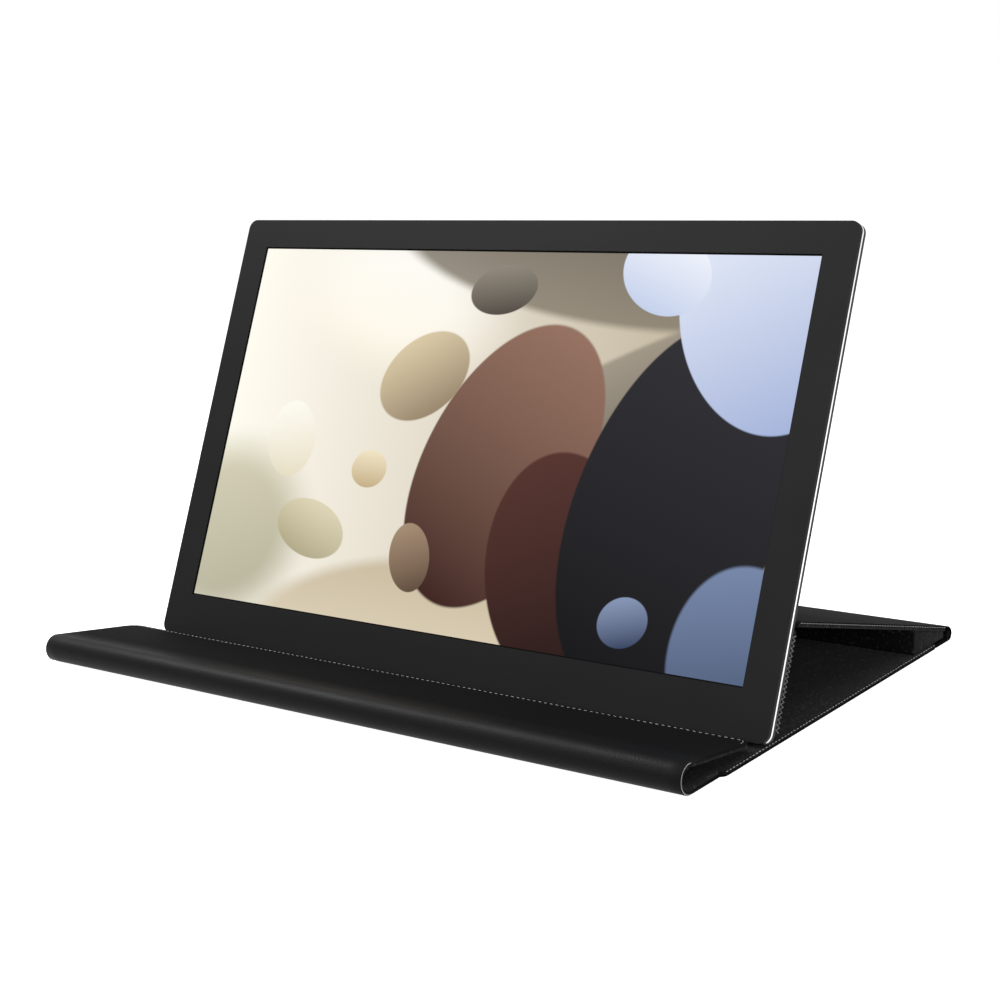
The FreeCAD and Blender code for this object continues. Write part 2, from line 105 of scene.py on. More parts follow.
def addNode(tree, kind, inputs=None, **settings):
    node = tree.nodes.new(kind)
    for key, value in settings.items():
        setattr(node, key, value)
    for key, value in (inputs or {}).items():
        if isinstance(value, bpy.types.NodeSocket):
            tree.links.new(value, node.inputs[key])
        else:
            node.inputs[key].default_value = value
    return node


def newMaterial(name, **sockets):
    material = bpy.data.materials.new(name)
    material.use_nodes = True
    tree = material.node_tree
    shader = tree.nodes["Principled BSDF"]
    for key, value in sockets.items():
        shader.inputs[key.replace("_", " ")].default_value = value
    place = addNode(tree, "ShaderNodeTexCoord").outputs["Object"]
    return material, tree, shader, place


# a colour Mix node's two colours and its result, by socket number
mixFirst, mixSecond, mixResult = 6, 7, 2
cloudSize = 45


def grainBump(tree, shader, place, size, depth, rough, kind="ShaderNodeTexNoise", colours=None):
    # size and depth of the grain in mm; a slow cloud varies the roughness and the colour
    grain = addNode(tree, kind, {"Vector": place, "Scale": 1000 / size})
    height = grain.outputs["Fac"] if kind == "ShaderNodeTexNoise" else grain.outputs["Distance"]
    bump = addNode(tree, "ShaderNodeBump", {"Height": height, "Distance": depth * mm, "Strength": 1.0})
    cloud = addNode(tree, "ShaderNodeTexNoise", {"Vector": place, "Scale": 1000 / cloudSize, "Detail": 4.0})
    spread = addNode(tree, "ShaderNodeMapRange", {"Value": cloud.outputs["Fac"], "From Min": 0.3, "From Max": 0.7,
                                                  "To Min": rough[0], "To Max": rough[1]})
    tree.links.new(spread.outputs["Result"], shader.inputs["Roughness"])
    tree.links.new(bump.outputs["Normal"], shader.inputs["Normal"])
    if colours:
        mix = addNode(tree, "ShaderNodeMix", {"Factor": cloud.outputs["Fac"], mixFirst: hexColor(colours[0]),
                                              mixSecond: hexColor(colours[1])}, data_type="RGBA")
        tree.links.new(mix.outputs[mixResult], shader.inputs["Base Color"])
    return bump, spread


# calf leather, finished black: fine pores and a soft swell. Pores are drawn at 0.8 mm to show.
# Handling polishes the bend of the roll, and the flat panels behind it stay duller
wear = {"bend": -54.0, "flat": -40.0, "dulling": 0.4, "bendGloss": 0.07, "flatGloss": 0.04,
        "swell": 38, "swellDepth": 0.5}
leather, tree, shader, place = newMaterial("calfLeather", IOR=1.5)
bump, spread = grainBump(tree, shader, place, 0.8, 0.09, (0.44, 0.52), "ShaderNodeTexVoronoi", ("#070708", "#0c0c0d"))
swell = addNode(tree, "ShaderNodeTexNoise", {"Vector": place, "Scale": 1000 / wear["swell"], "Detail": 2.0})
soft = addNode(tree, "ShaderNodeBump", {"Height": swell.outputs["Fac"], "Distance": wear["swellDepth"] * mm,
                                        "Strength": 0.6})
tree.links.new(soft.outputs["Normal"], bump.inputs["Normal"])
depth = addNode(tree, "ShaderNodeSeparateXYZ", {0: place})
bent = {"Value": depth.outputs["Y"], "From Min": wear["bend"] * mm, "From Max": wear["flat"] * mm}
dull = addNode(tree, "ShaderNodeMapRange", {**bent, "To Min": 0.0, "To Max": wear["dulling"]})
worn = addNode(tree, "ShaderNodeMath", {0: spread.outputs["Result"], 1: dull.outputs["Result"]}, operation="ADD")
tree.links.new(worn.outputs[0], shader.inputs["Roughness"])
gloss = addNode(tree, "ShaderNodeMapRange", {**bent, "To Min": wear["bendGloss"], "To Max": wear["flatGloss"]})
tree.links.new(gloss.outputs["Result"], shader.inputs["Specular IOR Level"])

# needled felt: near black, no gloss, a fuzzy pile with paler flecks
felt, tree, shader, place = newMaterial("needledFelt", Specular_IOR_Level=0.1, Sheen_Weight=0.04, Sheen_Roughness=0.6)
grainBump(tree, shader, place, 0.8, 0.35, (0.92, 1.0))
fleck = addNode(tree, "ShaderNodeTexNoise", {"Vector": place, "Scale": 1000 / 1.7, "Detail": 2.0})
pile = addNode(tree, "ShaderNodeValToRGB", {"Fac": fleck.outputs["Fac"]})
for stop, position, colour in zip(pile.color_ramp.elements, (0.56, 0.78), ("#040404", "#38383a")):
    stop.position = position
    stop.color = hexColor(colour)
tree.links.new(pile.outputs["Color"], shader.inputs["Base Color"])

# painted highlight: the leather's end faces are coloured pale grey, standing in for the light caught along the cut edge
edgeHighlight, tree, shader, place = newMaterial("paintedEdgeHighlight", Specular_IOR_Level=0.4)
grainBump(tree, shader, place, 0.5, 0.04, (0.45, 0.6), colours=("#8c8c8e", "#b2b2b4"))

# spun polyester thread, pale grey
thread, tree, shader, place = newMaterial("polyesterThread", Specular_IOR_Level=0.3)
grainBump(tree, shader, place, 0.3, 0.05, (0.6, 0.8), colours=("#8e8e90", "#b4b4b6"))

# moulded ABS with a fine spark-eroded texture, charcoal: the bezel, and the shell a shade lighter
bezelAbs, tree, shader, place = newMaterial("texturedAbs", IOR=1.53, Specular_IOR_Level=0.09)
grainBump(tree, shader, place, 0.35, 0.02, (0.46, 0.56), colours=("#090909", "#0c0c0d"))
shellAbs, tree, shader, place = newMaterial("shellAbs", IOR=1.53, Specular_IOR_Level=0.2)
grainBump(tree, shader, place, 0.5, 0.03, (0.45, 0.58), colours=("#0b0b0c", "#101011"))

# drawn aluminium strip, bright, slightly clouded
trimAlloy, tree, shader, place = newMaterial("drawnAluminium", Metallic=1.0)
grainBump(tree, shader, place, 1.2, 0.01, (0.22, 0.34), colours=("#e6e6e8", "#f2f2f3"))

# pieces inside the case and the cover: name, two near colours, roughness, metal or not
plainFinishes = {
    "film": ("matteFilm", ("#cfd1d1", "#dadcdc"), 0.5, 0.0),
    "clear_acrylic": ("castAcrylic", ("#c6cdcd", "#d2d9d9"), 0.15, 0.0),
    "frame_plastic": ("whitePolycarbonate", ("#c2c2bf", "#cececb"), 0.5, 0.0),
    "tray_steel": ("zincPlatedSteel", ("#9fa1a3", "#b1b3b5"), 0.35, 1.0),
    "circuit_board": ("solderMask", ("#0d341e", "#114026"), 0.4, 0.0),
    "chip_resin": ("mouldedEpoxy", ("#131313", "#191919"), 0.5, 0.0),
    "ribbon": ("polyimideFilm", ("#925919", "#a26523"), 0.35, 0.0),
    "screw_steel": ("blackOxideSteel", ("#262628", "#2e2e30"), 0.4, 1.0),
    "pad_rubber": ("foamTape", ("#121212", "#181818"), 0.9, 0.0),
    "greyboard": ("greyboard", ("#706e68", "#7e7c76"), 0.9, 0.0),
    "magnet": ("nickelPlate", ("#b1afa8", "#c1bfb8"), 0.25, 1.0)}
plainMaterials = {}
for slot, (name, colours, rough, metal) in plainFinishes.items():
    material, tree, shader, place = newMaterial(name, Metallic=metal)
    grainBump(tree, shader, place, 0.8, 0.02, (rough * 0.85, min(1.0, rough * 1.15)), colours=colours)
    plainMaterials[slot] = material

# the lit panel: a generic wallpaper of smooth overlapping pebbles, cream through brown to night blue
display = {"halfWidth": 171.7, "low": 22.9, "high": 215.5, "glow": 1.0, "fade": 170.0}
picture, tree, shader, place = newMaterial("litPanel", Roughness=0.4, Specular_IOR_Level=0.03)
shader.inputs["Base Color"].default_value = hexColor("#050505")
apart = addNode(tree, "ShaderNodeSeparateXYZ", {0: place})
upwards = addNode(tree, "ShaderNodeVectorMath",
                  {0: place, 1: (0, math.sin(stand["lean"]), math.cos(stand["lean"]))}, operation="DOT_PRODUCT")
rise = addNode(tree, "ShaderNodeMath",
               {0: upwards.outputs["Value"], 1: stand["foot"] * math.cos(stand["lean"]) * mm}, operation="SUBTRACT")
flat = addNode(tree, "ShaderNodeCombineXYZ", {0: apart.outputs["X"], 1: rise.outputs[0]})
across = addNode(tree, "ShaderNodeMapRange", {"Value": apart.outputs["X"], "From Min": -display["fade"] * mm,
                                              "From Max": display["fade"] * mm})
ground = addNode(tree, "ShaderNodeMix", {"Factor": across.outputs["Result"], mixFirst: hexColor("#fffbef"),
                                         mixSecond: hexColor("#b3a386")}, data_type="RGBA")
design = ground.outputs[mixResult]
# centre, half sizes (mm), turn, edge softness, cover, lower and upper colour
pebbles = (
    ((-160, 60), (70, 60), 10, 0.5, 0.75, "#8d8a68", "#c9c4a2"),
    ((-70, 190), (95, 50), -12, 0.7, 0.9, "#fff7e2", "#ffffff"),
    ((60, 222), (150, 44), -6, 0.12, 0.9, "#8b8171", "#45403b"),
    ((-20, 20), (120, 42), 6, 0.2, 0.8, "#e9ddc4", "#bfae8d"),
    ((95, 150), (120, 24), 24, 0.14, 0.85, "#5d554c", "#988f80"),
    ((18, 108), (50, 76), -24, 0.025, 1.0, "#3a1d19", "#94705f"),
    ((64, 62), (44, 58), 20, 0.03, 1.0, "#1c0d0c", "#54302a"),
    ((-42, 150), (30, 22), 30, 0.05, 0.9, "#8a7457", "#d6c49d"),
    ((120, 96), (56, 92), -14, 0.02, 1.0, "#0a0a0d", "#2b2b31"),
    ((168, 30), (38, 46), 10, 0.05, 1.0, "#2c3a56", "#7586a8"),
    ((150, 190), (46, 60), 26, 0.02, 1.0, "#a4b3da", "#e6ecf9"),
    ((92, 206), (26, 20), -20, 0.03, 1.0, "#c3cfea", "#f1f4fc"),
    ((-124, 112), (17, 21), 12, 0.06, 0.8, "#e6dcc0", "#fffdf4"),
    ((-98, 66), (25, 15), -14, 0.05, 0.9, "#aaa07c", "#ddd3b3"),
    ((-28, 58), (13, 18), 20, 0.04, 1.0, "#5e4a3a", "#a58c74"),
    ((-2, 196), (21, 13), 8, 0.05, 1.0, "#4c463f", "#8f877a"),
    ((-66, 100), (12, 10), 0, 0.06, 1.0, "#c3ad84", "#f1e4c4"),
    ((104, 42), (14, 12), 15, 0.05, 1.0, "#33415f", "#8796b6"))
for (x, y), (wide, tall), turn, blur, share, low, high in pebbles:
    own = addNode(tree, "ShaderNodeMapping", {"Vector": flat.outputs[0], "Location": (x * mm, y * mm, 0),
                                              "Rotation": (0, 0, math.radians(turn)),
                                              "Scale": (wide * mm, tall * mm, 1)}, vector_type="TEXTURE")
    reach = addNode(tree, "ShaderNodeVectorMath", {0: own.outputs[0]}, operation="LENGTH")
    mask = addNode(tree, "ShaderNodeMapRange", {"Value": reach.outputs["Value"], "From Min": 1.0 - blur,
                                                "From Max": 1.0, "To Min": share, "To Max": 0.0},
                   interpolation_type="SMOOTHSTEP")
    height = addNode(tree, "ShaderNodeSeparateXYZ", {0: own.outputs[0]})
    lift = addNode(tree, "ShaderNodeMapRange", {"Value": height.outputs["Y"], "From Min": -1.0, "From Max": 1.0})
    shade = addNode(tree, "ShaderNodeMix", {"Factor": lift.outputs["Result"], mixFirst: hexColor(low),
                                            mixSecond: hexColor(high)}, data_type="RGBA")
    laid = addNode(tree, "ShaderNodeMix", {"Factor": mask.outputs["Result"], mixFirst: design,
                                           mixSecond: shade.outputs[mixResult]}, data_type="RGBA")
    design = laid.outputs[mixResult]
# the sides of the cell, past the picture, stay dark
limits = ((apart.outputs["X"], display["halfWidth"], "LESS_THAN"),
          (apart.outputs["X"], -display["halfWidth"], "GREATER_THAN"),
          (rise.outputs[0], display["high"], "LESS_THAN"), (rise.outputs[0], display["low"], "GREATER_THAN"))
inside = [addNode(tree, "ShaderNodeMath", {0: value, 1: limit * mm}, operation=way).outputs[0]
          for value, limit, way in limits]
lit = inside[0]
for test in inside[1:]:
    lit = addNode(tree, "ShaderNodeMath", {0: lit, 1: test}, operation="MULTIPLY").outputs[0]
shown = addNode(tree, "ShaderNodeMix", {"Factor": lit, mixFirst: (0, 0, 0, 1), mixSecond: design}, data_type="RGBA")
tree.links.new(shown.outputs[mixResult], shader.inputs["Emission Color"])
shader.inputs["Emission Strength"].default_value = display["glow"]
print("materials ready")


def finishPiece(name, mesh, material, body, replaced=()):
    piece = bpy.data.objects.new(name, mesh)
    bpy.context.scene.collection.objects.link(piece)
    mesh.materials.clear()
    mesh.materials.append(material)
    for face in mesh.polygons:
        face.use_smooth = True
    if body:
        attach(piece, body)
    if replaced:
        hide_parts(*replaced)
    return piece


def finishMesh(name, work, sharpAngle=50):
    mesh = bpy.data.meshes.new(name)
    work.to_mesh(mesh)
    work.free()
    mesh.set_sharp_from_angle(angle=math.radians(sharpAngle))
    return mesh


def joinLoops(work, first, second):
    for k in range(len(first)):
        n = (k + 1) % len(first)
        work.faces.new((first[k], first[n], second[n], second[k]))


def roundedOutline(bounds, radii, steps=8):
    left, right, front, back = bounds
    corners = ((right, front, -1, 1, 270), (right, back, -1, -1, 0), (left, back, 1, -1, 90), (left, front, 1, 1, 180))
    points = []
    for (x, y, inX, inY, turn), radius in zip(corners, radii):
        for k in range(steps + 1):
            a = math.radians(turn + 90 * k / steps)
            points.append((x + inX * radius + radius * math.cos(a), y + inY * radius + radius * math.sin(a)))
    return points


def slabMesh(name, bounds, radii, low, high, edge, toWorld, steps=4, leastRadius=0.05):
    # a flat sheet with turned edges: rings climb round the edge, and one face closes each side
    turns = [math.pi / 2 * k / steps for k in range(steps + 1)]
    rings = [(edge * (1 - math.sin(a)), low + edge * (1 - math.cos(a))) for a in turns]
    rings += [(edge * (1 - math.cos(a)), high - edge * (1 - math.sin(a))) for a in turns]
    left, right, front, back = bounds
    work = bmesh.new()
    loops = []
    for inset, level in rings:
        shrunk = roundedOutline((left + inset, right - inset, front + inset, back - inset),
                                [max(r - inset, leastRadius) for r in radii])
        loops.append([work.verts.new(toWorld(x, y, level)) for x, y in shrunk])
    for lower, upper in zip(loops, loops[1:]):
        joinLoops(work, lower, upper)
    work.faces.new(list(reversed(loops[0])))
    work.faces.new(loops[-1])
    bmesh.ops.remove_doubles(work, verts=work.verts, dist=1e-6)
    bmesh.ops.recalc_face_normals(work, faces=work.faces)
    return finishMesh(name, work)


def stripMesh(name, line, thick, left, right, toWorld, slices=60, edge=0.3, pinch=0.6):
    # a strip of sheet bent along a line of (y, z) points and drawn out across the width, with softened ends
    count = len(line)
    normals = []
    for k in range(count):
        along = (Vector(line[min(k + 1, count - 1)]) - Vector(line[max(k - 1, 0)])).normalized()
        normals.append(Vector((along.y, -along.x)))
    inner = [Vector(p) - n * thick for p, n in zip(line, normals)]
    profile = [Vector(p) for p in line] + inner[::-1]
    middle = [(profile[k] + profile[2 * count - 1 - k]) / 2 for k in range(count)]
    middle = middle + middle[::-1]
    span = right - left - 2 * edge
    stations = [(left, pinch), (left + edge, 0.0)]
    stations += [(left + edge + span * k / slices, 0.0) for k in range(1, slices)]
    stations += [(right - edge, 0.0), (right, pinch)]
    work = bmesh.new()
    loops = []
    for x, share in stations:
        ring = [p.lerp(m, share) for p, m in zip(profile, middle)]
        loops.append([work.verts.new(toWorld(x, q.x, q.y)) for q in ring])
    for first, second in zip(loops, loops[1:]):
        joinLoops(work, first, second)
    for ring in (loops[0], loops[-1]):
        for k in range(count - 1):
            work.faces.new((ring[k], ring[k + 1], ring[2 * count - 2 - k], ring[2 * count - 1 - k]))
    bmesh.ops.recalc_face_normals(work, faces=work.faces)
    return finishMesh(name, work)


def prismMesh(name, profile, left, right, soften, toWorld):
    # a filled length with the (y, z) outline given, its edges softened
    work = bmesh.new()
    ends = [[work.verts.new(toWorld(x, y, z)) for y, z in profile] for x in (left, right)]
    joinLoops(work, *ends)
    for ring in ends:
        work.faces.new(ring)
    bmesh.ops.recalc_face_normals(work, faces=work.faces)
    bmesh.ops.bevel(work, geom=work.edges[:], offset=soften * mm, segments=3, profile=0.5, affect="EDGES")
    return finishMesh(name, work)


def arcLine(centre, radius, start, stop, steps):
    angles = [math.radians(start + (stop - start) * k / steps) for k in range(steps + 1)]
    return [(centre[0] + radius * math.cos(a), centre[1] + radius * math.sin(a)) for a in angles]


def curvedLine(start, pull, end, steps):
    shares = [k / steps for k in range(steps + 1)]
    return [start * (1 - t) ** 2 + pull * 2 * t * (1 - t) + end * t ** 2 for t in shares]


# the cover's stiff panels: a leather side and a felt side, both with turned edges
turned = {"leather": 0.38, "felt": 0.6, "feltInset": 0.3}
panels = {
    "base": {"to": basePoint, "bounds": (-cover["right"], cover["right"], cover["baseFront"], cover["baseRear"]),
             "radii": (4, 2, 2, 4), "skin": (0.0, 0.8), "felt": (0.8, 2.3), "body": "base"},
    "prop": {"to": propPoint, "bounds": (-cover["right"], cover["right"], cover["setback"] - propLength, -3.0),
             "radii": (2, 2, 2, 2), "skin": (1.8, 2.6), "felt": (0.0, 1.8), "body": "prop"},
    "back_panel": {"to": backPoint, "bounds": (-cover["right"], cover["right"], 3.2, 51.7),
                   "radii": (4, 2, 2, 4), "skin": (-9.8, -9.0), "felt": (-12.6, -9.8), "body": "monitor"},
    "flap": {"to": flapPoint, "bounds": (cover["rollLeft"], cover["flapRight"], -0.5, cover["flapRear"]),
             "radii": (0.1, 6, 6, 0.1), "skin": (6.2, 7.0), "felt": (4.5, 6.2), "body": "flap"}}
for name, panel in panels.items():
    low, high = panel["skin"]
    skinMesh = slabMesh(name + "Leather", panel["bounds"], panel["radii"], low, high, turned["leather"], panel["to"])
    finishPiece(name + "Leather", skinMesh, leather, panel["body"], (name + "_skin",))
    left, right, front, back = panel["bounds"]
    inset = turned["feltInset"]
    inner = (left + inset, right - inset, front + inset, back - inset)
    radii = [max(r - inset, inset) for r in panel["radii"]]
    low, high = panel["felt"]
    feltMesh = slabMesh(name + "Felt", inner, radii, low, high, turned["felt"], panel["to"])
    finishPiece(name + "Felt", feltMesh, felt, panel["body"], (name + "_lining",))
print("panels ready")

# the front roll: leather outside, felt inside, both from the flap's front end round to the base
roll = {"radius": 7.0, "skin": 0.8, "felt": 2.2, "feltLeft": -208.2, "feltInset": 0.8, "steps": 36, "legSteps": 6,
        "highlightDepth": 0.05, "highlightReach": 1.0}
topAngle = 90 - math.degrees(stand["flapSlope"])
leg = cover["baseFront"] - stand["rollY"]


def rollLine(radius):
    legLine = [(leg * k / roll["legSteps"], -radius) for k in range(1, roll["legSteps"] + 1)]
    return arcLine((0, 0), radius, topAngle, 270, roll["steps"]) + legLine


rollMesh = stripMesh("rollLeather", rollLine(roll["radius"]), roll["skin"], cover["rollLeft"], cover["flapRight"],
                     rollPoint)
finishPiece("rollLeather", rollMesh, leather, "base", ("front_roll",))
# the painted highlight's pale colour goes on the end faces of the round at the right end
rollMesh.materials.append(edgeHighlight)
for face in rollMesh.polygons:
    atEnd = face.center.x > (cover["flapRight"] - roll["highlightDepth"]) * mm
    if atEnd and face.center.y < (stand["rollY"] + roll["highlightReach"]) * mm:
        face.material_index = 1
liningMesh = stripMesh("rollFelt", rollLine(roll["radius"] - roll["skin"]), roll["felt"], roll["feltLeft"],
                       cover["flapRight"] - roll["feltInset"], rollPoint)
finishPiece("rollFelt", liningMesh, felt, "base", ("front_roll_lining",))

# the soft spine at the rear: the lower half stays with the base, the upper leg runs from it up to the prop
spine = {"y": 177.5, "low": 0.25, "high": 6.9, "skin": 0.8, "felt": 1.6, "turn": 30, "feltInset": 0.8,
         "landing": (-3.2, 2.6), "bow": 0.9, "steps": 20, "legSteps": 4, "upperSteps": 12}
spineRadius = (spine["high"] - spine["low"]) / 2
spineCentre = (spine["y"], (spine["high"] + spine["low"]) / 2)
underLine = [(cover["baseRear"] + (spine["y"] - cover["baseRear"]) * k / spine["legSteps"], spine["low"])
             for k in range(spine["legSteps"])]
lowerLine = underLine + arcLine(spineCentre, spineRadius, -90, spine["turn"], spine["steps"])
lowerMesh = stripMesh("spineLower", lowerLine, spine["skin"], -cover["right"], cover["right"], basePoint)
finishPiece("spineLower", lowerMesh, leather, "base", ("rear_spine",))
feltLine = arcLine(spineCentre, spineRadius - spine["skin"], -90, spine["turn"], spine["steps"])
liningMesh = stripMesh("spineFelt", feltLine, spine["felt"], spine["feltInset"] - cover["right"],
                       cover["right"] - spine["feltInset"], basePoint)
finishPiece("spineFelt", liningMesh, felt, "base", ())
tip = Vector(lowerLine[-1])
landing = (propPoint(0, *spine["landing"]) / mm).yz
bow = Vector((tip.x - spine["bow"], landing.y - spine["bow"]))
upperLine = [tuple(q) for q in curvedLine(tip, bow, landing, spine["upperSteps"])]
upperMesh = stripMesh("spineUpper", upperLine, spine["skin"], -cover["right"], cover["right"], basePoint)
spineUpper = finishPiece("spineUpper", upperMesh, leather, None, ())
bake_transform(spineUpper)

# the lining bridges the rear fold, sewn to the prop: a felt wedge that closes the fold's ends
gusset = {"front": -36.0, "rear": -4.0, "top": 0.05, "bottom": 2.5, "rearY": 174.0, "toe": 1.0, "inset": 1.2,
          "soften": 0.5}
frontTop = (propPoint(0, gusset["front"], gusset["top"]) / mm).yz
rearTop = (propPoint(0, gusset["rear"], gusset["top"]) / mm).yz
gussetProfile = (tuple(frontTop), tuple(rearTop), (gusset["rearY"], gusset["bottom"]),
                 (frontTop.x - gusset["toe"], gusset["bottom"]))
gussetMesh = prismMesh("gussetFelt", gussetProfile, gusset["inset"] - cover["right"], cover["right"] - gusset["inset"],
                       gusset["soften"], basePoint)
finishPiece("gussetFelt", gussetMesh, felt, "prop", ())

# the top crease, bent from the prop to the back panel
crease = {"skin": 0.8, "lap": 0.2, "bend": 0.9, "steps": 8}
propEnd = propPoint(0, cover["setback"] - propLength + crease["lap"], stand["propRise"])
backEnd = screenPoint(0, stand["foldHeight"] - cover["setback"] + crease["lap"], stand["foldDepth"])
propNear = propPoint(0, crease["bend"] - propLength, stand["propRise"]) / mm
backNear = screenPoint(0, stand["foldHeight"] - crease["bend"], stand["foldDepth"]) / mm
bend = curvedLine(propNear, foldPoint, backNear, crease["steps"])
creaseLine = [tuple(q.yz) for q in (propEnd / mm, *bend, backEnd / mm)]
creaseMesh = stripMesh("creaseLeather", creaseLine, crease["skin"], -cover["right"], cover["right"], basePoint)
creaseLeather = finishPiece("creaseLeather", creaseMesh, leather, None, ("top_crease",))
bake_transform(creaseLeather)
print("folds ready")


def newTree(name, sockets):
    tree = bpy.data.node_groups.new(name, "GeometryNodeTree")
    tree.interface.new_socket("Geometry", in_out="INPUT", socket_type="NodeSocketGeometry")
    names = {}
    for label, kind in sockets:
        names[label] = tree.interface.new_socket(label, in_out="INPUT", socket_type=kind).identifier
    tree.interface.new_socket("Geometry", in_out="OUTPUT", socket_type="NodeSocketGeometry")
    return tree, addNode(tree, "NodeGroupInput").outputs, names


def endTree(tree, geometry, material):
    real = addNode(tree, "GeometryNodeRealizeInstances", {"Geometry": geometry})
    dressed = addNode(tree, "GeometryNodeSetMaterial", {"Geometry": real.outputs[0], "Material": material})
    addNode(tree, "NodeGroupOutput", {0: dressed.outputs[0]})


# straight stitches: one short thread on each point along the path
dashSockets = (("Pitch", "NodeSocketFloat"), ("Dash", "NodeSocketFloat"), ("Radius", "NodeSocketFloat"),
               ("Material", "NodeSocketMaterial"))
dashTree, given, dashNames = newTree("dashStitches", dashSockets)
spots = addNode(dashTree, "GeometryNodeCurveToPoints", {"Curve": given["Geometry"], "Length": given["Pitch"]},
                mode="LENGTH")
dash = addNode(dashTree, "GeometryNodeMeshCylinder", {"Vertices": 6, "Radius": given["Radius"], "Depth": given["Dash"]})
sewn = addNode(dashTree, "GeometryNodeInstanceOnPoints", {"Points": spots.outputs["Points"],
                                                          "Instance": dash.outputs["Mesh"],
                                                          "Rotation": spots.outputs["Rotation"]})
endTree(dashTree, sewn.outputs[0], given["Material"])

# zigzag stitches: every second point of the path is moved to the other side
zigSockets = (("Pitch", "NodeSocketFloat"), ("Side", "NodeSocketVector"), ("Radius", "NodeSocketFloat"),
              ("Material", "NodeSocketMaterial"))
zigTree, given, zigNames = newTree("zigzagStitches", zigSockets)
path = addNode(zigTree, "GeometryNodeResampleCurve", {"Curve": given["Geometry"], "Length": given["Pitch"]},
               mode="LENGTH")
index = addNode(zigTree, "GeometryNodeInputIndex").outputs[0]
odd = addNode(zigTree, "ShaderNodeMath", {0: index, 1: 2.0}, operation="MODULO")
swing = addNode(zigTree, "ShaderNodeMath", {0: odd.outputs[0], 1: 0.5}, operation="SUBTRACT")
aside = addNode(zigTree, "ShaderNodeVectorMath", {0: given["Side"], "Scale": swing.outputs[0]}, operation="SCALE")
moved = addNode(zigTree, "GeometryNodeSetPosition", {"Geometry": path.outputs[0], "Offset": aside.outputs[0]})
ring = addNode(zigTree, "GeometryNodeCurvePrimitiveCircle", {"Resolution": 5, "Radius": given["Radius"]})
tube = addNode(zigTree, "GeometryNodeCurveToMesh", {"Curve": moved.outputs[0], "Profile Curve": ring.outputs[0],
                                                    "Fill Caps": True})
endTree(zigTree, tube.outputs[0], given["Material"])


def stitchRow(name, points, tree, values, body):
    curve = bpy.data.curves.new(name + "Path", "CURVE")
    curve.dimensions = "3D"
    spline = curve.splines.new("POLY")
    spline.points.add(len(points) - 1)
    for spot, point in zip(spline.points, points):
        spot.co = (*point, 1.0)
    guide = bpy.data.objects.new(name + "Path", curve)
    bpy.context.scene.collection.objects.link(guide)
    modifier = guide.modifiers.new("stitches", "NODES")
    modifier.node_group = tree
    for key, value in values.items():
        modifier[key] = value
    graph = bpy.context.evaluated_depsgraph_get()
    mesh = bpy.data.meshes.new_from_object(guide.evaluated_get(graph))
    guide.modifiers.remove(modifier)
    bpy.data.objects.remove(guide)
    mesh.name = name
    finishPiece(name, mesh, thread, body, ())


def dashValues(pitch, dash, radius):
    return {dashNames["Pitch"]: pitch * mm, dashNames["Dash"]: dash * mm, dashNames["Radius"]: radius * mm,
            dashNames["Material"]: thread}


# the flap's seam, along its rear edge and round both corners
seam = {"pitch": 3.2, "dash": 1.5, "radius": 0.13, "inset": 1.9, "front": 4, "radii": (0.1, 4.2, 4.2, 0.1),
        "reach": 11, "level": 7.02}
left, right, front, back = panels["flap"]["bounds"]
seamBounds = (left + seam["inset"], right - seam["inset"], front + seam["front"], back - seam["inset"])
seamLine = [flapPoint(x, y, seam["level"]) for x, y in roundedOutline(seamBounds, seam["radii"])
            if y > back - seam["reach"]]
stitchRow("flapStitches", seamLine, dashTree, dashValues(seam["pitch"], seam["dash"], seam["radius"]), "flap")

# the hems at the panels' ends: a straight row on the base and the prop, a zigzag over the back panel's edge
hem = {"pitch": 2.6, "dash": 1.2, "radius": 0.17, "zigPitch": 1.1, "zigRadius": 0.17, "zigMargin": 0.9,
       "endGap": 3, "steps": 40, "proud": 0.02, "baseDrop": 0.1}
hemLevels = {"base": panels["base"]["felt"][1] - hem["baseDrop"], "prop": panels["prop"]["skin"][0],
             "back_panel": (panels["back_panel"]["felt"][0] + panels["back_panel"]["skin"][1]) / 2}
for name, level in hemLevels.items():
    panel = panels[name]
    left, right, front, back = panel["bounds"]
    length = back - front - 2 * hem["endGap"]
    for sideName, x in (("Right", right + hem["proud"]), ("Left", left - hem["proud"])):
        row = [panel["to"](x, front + hem["endGap"] + length * k / hem["steps"], level)
               for k in range(hem["steps"] + 1)]
        if name == "back_panel":
            upright = (panel["to"](0, 0, 1) - panel["to"](0, 0, 0)).normalized()
            swing = upright * (panel["skin"][1] - panel["felt"][0] - hem["zigMargin"]) * mm
            values = {zigNames["Pitch"]: hem["zigPitch"] * mm, zigNames["Side"]: tuple(swing),
                      zigNames["Radius"]: hem["zigRadius"] * mm, zigNames["Material"]: thread}
            stitchRow(name + "Zigzag" + sideName, row, zigTree, values, panel["body"])
        else:
            values = dashValues(hem["pitch"], hem["dash"], hem["radius"])
            stitchRow(name + "Hem" + sideName, row, dashTree, values, panel["body"])
print("stitches ready")

# finishes on the solids that stay
finishes = {"front_bezel": bezelAbs, "edge_trim": trimAlloy, "rear_cover": shellAbs, "lcd_panel": picture}
slots = {part["node"]: part["material_slot"] for part in frame["record"]["subparts"]}
for name, thing in nodes.items():
    material = finishes.get(name) or plainMaterials.get(slots.get(name))
    if material:
        for holder in thing.material_slots:
            holder.material = material
print("finishes ready")


def backgroundRays(tree):
    # 1 for rays that should meet the plain white background: from the camera, a mirror or through glass
    rays = addNode(tree, "ShaderNodeLightPath").outputs
    mirrored = addNode(tree, "ShaderNodeMath", {0: rays["Is Glossy Ray"], 1: rays["Is Transmission Ray"]},
                       operation="MAXIMUM")
    seen = addNode(tree, "ShaderNodeMath", {0: rays["Is Camera Ray"], 1: mirrored.outputs[0]}, operation="MAXIMUM")
    return seen.outputs[0]


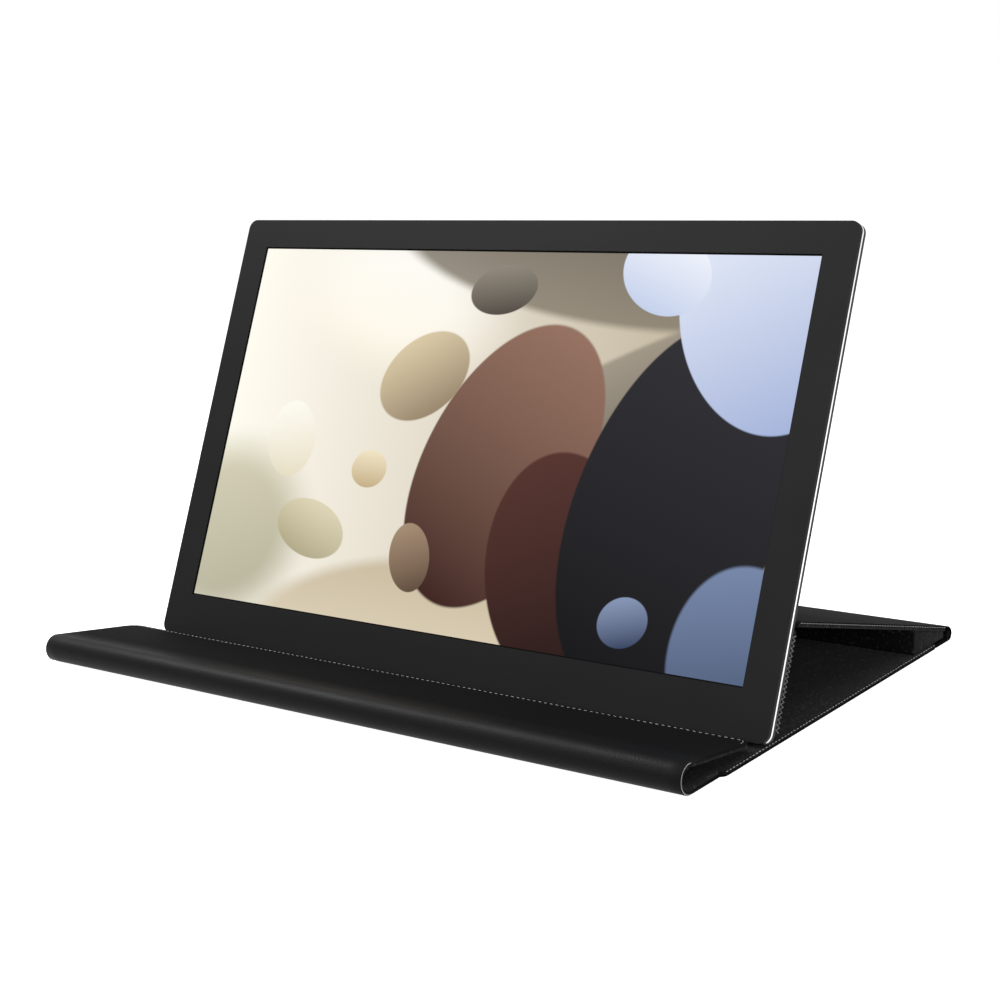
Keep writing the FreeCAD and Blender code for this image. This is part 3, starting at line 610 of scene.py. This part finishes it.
# a white paper sweep that keeps the object's shadow
sweep = {"half": 6.0, "level": -0.2, "grey": 0.6, "glow": 0.97}
half = sweep["half"]
floorMesh = bpy.data.meshes.new("floor")
floorMesh.from_pydata([(-half, -half, 0), (half, -half, 0), (half, half, 0), (-half, half, 0)], [], [(0, 1, 2, 3)])
floor = bpy.data.objects.new("floor", floorMesh)
bpy.context.scene.collection.objects.link(floor)
floor.location.z = sweep["level"] * mm
paper = bpy.data.materials.new("paperSweep")
paper.use_nodes = True
tree = paper.node_tree
tree.nodes.clear()
matt = addNode(tree, "ShaderNodeBsdfDiffuse", {"Color": (sweep["grey"], sweep["grey"], sweep["grey"], 1)})
white = addNode(tree, "ShaderNodeEmission", {"Color": (1, 1, 1, 1), "Strength": sweep["glow"]})
veil = addNode(tree, "ShaderNodeAddShader", {0: matt.outputs[0], 1: white.outputs[0]})
both = addNode(tree, "ShaderNodeMixShader", {0: backgroundRays(tree), 1: matt.outputs[0], 2: veil.outputs[0]})
addNode(tree, "ShaderNodeOutputMaterial", {"Surface": both.outputs[0]})
floorMesh.materials.append(paper)

world = bpy.data.worlds.new("studio")
bpy.context.scene.world = world
world.use_nodes = True
tree = world.node_tree
tree.nodes.clear()
dim = addNode(tree, "ShaderNodeBackground", {"Color": (1, 1, 1, 1), "Strength": 0.1})
full = addNode(tree, "ShaderNodeBackground", {"Color": (1, 1, 1, 1), "Strength": 1.0})
pick = addNode(tree, "ShaderNodeMixShader", {0: backgroundRays(tree), 1: dim.outputs[0], 2: full.outputs[0]})
addNode(tree, "ShaderNodeOutputWorld", {"Surface": pick.outputs[0]})


def addLamp(name, spot, aim, size, power):
    lamp = bpy.data.lights.new(name, "AREA")
    lamp.shape = "RECTANGLE"
    lamp.size, lamp.size_y = size
    lamp.energy = power
    holder = bpy.data.objects.new(name, lamp)
    bpy.context.scene.collection.objects.link(holder)
    holder.location = spot
    holder.rotation_euler = (Vector(aim) - Vector(spot)).to_track_quat("-Z", "Y").to_euler()


# place, aim, size and power: the left one draws the line of light along the roll
addLamp("leftSoftbox", (-0.85, -0.1, 1.1), (0, -0.05, 0.05), (0.5, 0.4), 16)
addLamp("topSoftbox", (0.6, -0.6, 1.3), (0.1, 0, 0.1), (1.0, 0.6), 8)
addLamp("frontSoftbox", (-0.3, -0.95, 0.75), (0.1, 0, 0.12), (0.6, 0.5), 5)
addLamp("rearSoftbox", (0.6, 1.3, 1.3), (0, 0.1, 0.1), (0.8, 0.6), 6)
addLamp("sideSoftbox", (1.3, -0.1, 0.25), (0.15, 0.0, 0.03), (0.6, 0.4), 7)

view = {"spot": (0.6049, -0.6767, 0.3014), "right": (0.7829, 0.6184, -0.0680), "up": (-0.0881, 0.2184, 0.9719),
        "back": (0.6159, -0.7549, 0.2255), "lens": 70.92, "sensor": 36.0, "near": 0.01}
lens = bpy.data.cameras.new("viewer")
lens.lens = view["lens"]
lens.sensor_width = view["sensor"]
lens.clip_start = view["near"]
camera = bpy.data.objects.new("viewer", lens)
bpy.context.scene.collection.objects.link(camera)
facing = Matrix((view["right"], view["up"], view["back"])).transposed().to_4x4()
camera.matrix_world = Matrix.Translation(view["spot"]) @ facing
bpy.context.scene.camera = camera
bpy.context.scene.view_settings.view_transform = "Standard"
print("stage ready")
